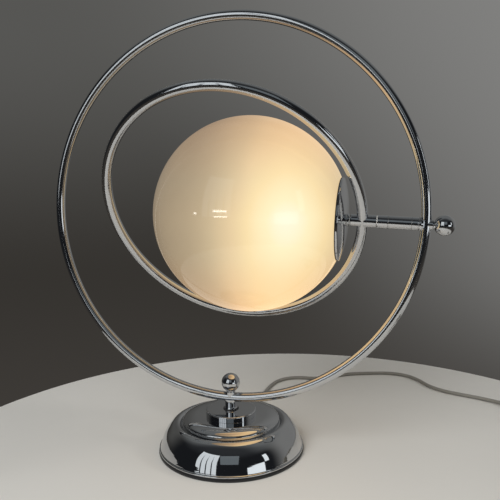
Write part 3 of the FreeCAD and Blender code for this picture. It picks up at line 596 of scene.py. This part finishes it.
# ----------------------------------------------------------------- the globe
shell = []
ro, ri = 100.0, 97.4
a1 = math.asin(39.9 / ro)
for k in range(141):
    a = math.pi + (a1 - math.pi) * k / 140
    shell.append((max(0.0, ro * math.sin(a)) if k else 0.0, 24.75 + ro * math.cos(a)))
shell += [(40.1, u0 - 0.15), (39.75, u0), (38.5, u0), (38.0, u0 - 0.15), (37.9, u0 - 0.6)]
a2 = math.asin(37.9 / ri)
for k in range(101):
    a = a2 + (math.pi - a2) * k / 100
    shell.append((ri * math.sin(a) if k < 100 else 0.0, 24.75 + ri * math.cos(a)))
shade = lathe("globe_shade", shell, ARM_LATHE, seg=288, sharp=60)
stand_for(shade, "ring_frame", M["opal"], "globe")

# ------------------------------------------------------------ the mains lead
MM = 0.001
CZ = 2.35
lead = [
    (-3.0, 103.0, 11.0), (-3.1, 121.0, 10.4), (-2.4, 141.0, 5.4), (-1.6, 162.0, 2.7),
    (-1.5, 184.0, CZ), (1.8, 206.0, CZ), (12.5, 225.5, CZ), (32.0, 235.5, CZ),
    (55.0, 234.5, CZ), (77.0, 248.0, CZ), (101.0, 268.0, CZ), (129.0, 277.5, CZ),
    (158.0, 285.5, CZ), (184.0, 281.5, CZ), (202.0, 263.5, CZ), (214.0, 241.0, CZ),
    (233.0, 224.5, CZ), (258.0, 215.0, CZ), (283.0, 206.5, CZ), (302.0, 193.5, 3.4),
    (312.8, 177.0, 7.9)]
AZ = math.radians(-75.0)
sx, sy = math.cos(AZ), math.sin(AZ)
s0 = (318.0, 160.0)
for d in (0.0, 18.0, 44.0, 60.0):       # straight through the switch
    lead.append((s0[0] + d * sx, s0[1] + d * sy, 9.0))
s1 = (s0[0] + 60 * sx, s0[1] + 60 * sy)
lead += [(s1[0] + 4.3, s1[1] - 15.0, 7.5), (s1[0] + 9.3, s1[1] - 30.0, 4.0),
         (s1[0] + 14.4, s1[1] - 45.5, CZ), (351.9, 40.0, CZ)]
# wound coil: four turns on the floor, inwards, then three in the grooves above
TURNS = [(31.9, CZ), (27.3, CZ), (22.7, CZ), (18.1, CZ), (20.4, 6.35), (25.0, 6.35), (29.6, 6.35)]
PER = 18
GROW = 1.0 / (0.25 + 0.75 * math.cos(math.pi / PER))
for i, (r, z) in enumerate(TURNS):
    nxt = TURNS[i + 1] if i + 1 < len(TURNS) else (29.6, 6.35)
    for k in range(PER):
        a = -2 * math.pi * k / PER
        f = max(0.0, min(1.0, (k - (PER - 4)) / 4.0))
        rr, zz = r + (nxt[0] - r) * f, z
        if i == 3:
            rr = r + (nxt[0] - r) * max(0.0, min(1.0, (k - (PER - 3)) / 3.0))
            zz = z + (7.0 - z) * max(0.0, min(1.0, (k - (PER - 8)) / 4.0))
        elif i > 3 and i < len(TURNS) - 1 and k >= PER - 5:
            zz = 7.0
        if i > 3 and k == 0:
            zz = 6.9
        lead.append((320.0 + rr * GROW * math.cos(a), 28.0 + rr * GROW * math.sin(a), zz))
lead += [(349.6, 28.0, 6.35), (349.6, 18.0, 6.35), (349.1, 6.0, 6.65), (347.8, -5.0, 7.05), (346.2, -16.0, 7.15)]
curve = bpy.data.curves.new("mains_lead", "CURVE")
curve.dimensions = "3D"
sp = curve.splines.new("NURBS")
sp.points.add(len(lead) - 1)
for p, (x, y, z) in zip(sp.points, lead):
    p.co = (x * MM, y * MM, z * MM, 1.0)
sp.order_u = 3
sp.use_endpoint_u = True
sp.resolution_u = 8
curve.bevel_depth = 2.3 * MM
curve.bevel_resolution = 6
curve.use_fill_caps = True
cord = bpy.data.objects.new("mains_lead", curve)
scene.collection.objects.link(cord)
curve.materials.append(M["cord"])
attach(cord, "base")
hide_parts("cord_lead", "cord_link", "cord_coil", "cord_tail")

# ----------------------------------------------------------------- the floor
m, nt, b = material("floor")
co = coords(nt)
f1 = noise(nt, co, 3.0, 3.0, 0.5)
nt.links.new(mixcol(nt, f1, (0.60, 0.585, 0.55), (0.65, 0.635, 0.60)), b.inputs["Base Color"])
nt.links.new(remap(nt, noise(nt, co, 40.0), 0.3, 0.7, 0.32, 0.42), b.inputs["Roughness"])
b.inputs["Specular IOR Level"].default_value = 0.35
bump(nt, b, noise(nt, co, 500.0, 3.0, 0.6), 0.00004, 0.4)
top = rounded([(0, 0, 0), (420, 0, 3.0), (420, -22, 3.0), (0, -22, 0)])
floor = lathe("floor", top, Matrix.Translation((0.08, -0.05, -0.00005)), seg=256)
dress(floor, m)

# ----------------------------------------------------------- world and lights
world = bpy.data.worlds.new("studio")
scene.world = world
world.use_nodes = True
wt = world.node_tree
for n in list(wt.nodes):
    wt.nodes.remove(n)
wo = node(wt, "ShaderNodeOutputWorld")
bg = node(wt, "ShaderNodeBackground")
wt.links.new(bg.outputs[0], wo.inputs[0])
tc = node(wt, "ShaderNodeTexCoord").outputs["Generated"]
sep = node(wt, "ShaderNodeSeparateXYZ")
wt.links.new(tc, sep.inputs[0])
X, Y, Z = sep.outputs


def smooth(nt, value, lo, hi, a=0.0, b=1.0):
    n = node(nt, "ShaderNodeMapRange", interpolation_type="SMOOTHSTEP")
    n.inputs["From Min"].default_value = lo
    n.inputs["From Max"].default_value = hi
    n.inputs["To Min"].default_value = a
    n.inputs["To Max"].default_value = b
    nt.links.new(value, n.inputs["Value"])
    return n.outputs["Result"]


# dark room in front, a grey wall behind that is lighter to the right, dark above
back = smooth(wt, Y, -0.15, 0.45)
cloud = noise(wt, tc, 2.6, 4.0, 0.6)
low = mixcol(wt, smooth(wt, Z, -0.16, 0.26), (0.036, 0.033, 0.029), (0.094, 0.093, 0.088))
room = mixcol(wt, back, (0.013, 0.014, 0.016), low)
side = smooth(wt, math_node(wt, "ADD", X, math_node(wt, "MULTIPLY", Z, 0.55)), -0.42, 0.42)
wall = mixcol(wt, math_node(wt, "MULTIPLY", side, back), room, (0.225, 0.224, 0.218))
ceil = smooth(wt, Z, 0.50, 0.85)
lid = mixcol(wt, smooth(wt, Y, -0.45, 0.10), (0.035, 0.037, 0.040), (0.165, 0.172, 0.172))
over = mixcol(wt, ceil, wall, lid)
under_f = smooth(wt, Z, -0.10, -0.45)
all_w = mixcol(wt, under_f, over, (0.05, 0.045, 0.04))
wt.links.new(all_w, bg.inputs["Color"])
bg.inputs["Strength"].default_value = 1.0


def panel(name, az, el, dist, w, h, power, colour=(1, 1, 1), centre=(0.02, 0, 0.2), mirrored=True):
    """Soft rectangular light in the direction (azimuth, elevation) as seen from
    the lamp; azimuth 0 is towards the viewer and 90 to the right."""
    a, e = math.radians(az), math.radians(el)
    d = Vector((math.sin(a) * math.cos(e), -math.cos(a) * math.cos(e), math.sin(e)))
    li = bpy.data.lights.new(name, "AREA")
    li.shape = "RECTANGLE"
    li.size, li.size_y = w, h
    li.energy = power
    li.color = colour
    ob = bpy.data.objects.new(name, li)
    scene.collection.objects.link(ob)
    ob.location = Vector(centre) + d * dist
    ob.rotation_mode = "QUATERNION"
    ob.rotation_quaternion = d.to_track_quat("Z", "Y")
    ob.visible_glossy = mirrored
    return ob


# tall window of four panes, front left; two bright strips and a small one in it
for k in range(4):
    panel("pane_%d" % k, -36.0 + 8.6 * k, 21, 2.4, 0.30, 1.75, 1.5, (0.93, 0.98, 1.0))
strips = []
strips.append(panel("strip_high", -18.5, 7.0, 2.3, 0.62, 0.060, 2.6, (1.0, 0.97, 0.90)))
strips.append(panel("strip_low", -18.0, 1.3, 2.3, 0.60, 0.040, 1.6, (1.0, 0.97, 0.90)))
strips.append(panel("strip_left", -48, 4, 2.4, 0.15, 0.05, 0.55, (1.0, 0.97, 0.90)))
# the strips are only strong enough to show in the glass, so they light nothing else
glass_only = bpy.data.collections.new("glass_only")
glass_only.objects.link(shade)
for ob in strips:
    ob.light_linking.receiver_collection = glass_only
# lit curtain beside it, then the right-hand window
panel("curtain", 13.0, 27, 2.5, 1.25, 1.25, 0.85, (0.84, 0.95, 1.0))
panel("window_right", 54, -1, 2.4, 1.2, 0.52, 2.3, (0.93, 0.98, 1.0))
panel("window_right_tall", 73, 15, 2.4, 0.30, 0.85, 0.9, (0.93, 0.98, 1.0))
# light that only falls on the things below
panel("sky_front", -16, 36, 1.9, 1.3, 1.0, 31.0, (0.98, 0.99, 1.0), mirrored=False)
panel("sky_right", 98, 34, 2.2, 0.32, 0.32, 7.5, (1.0, 0.98, 0.95), mirrored=False)
panel("ceiling", 10, 72, 1.9, 1.6, 1.6, 9.0, (1.0, 0.97, 0.93), mirrored=False)
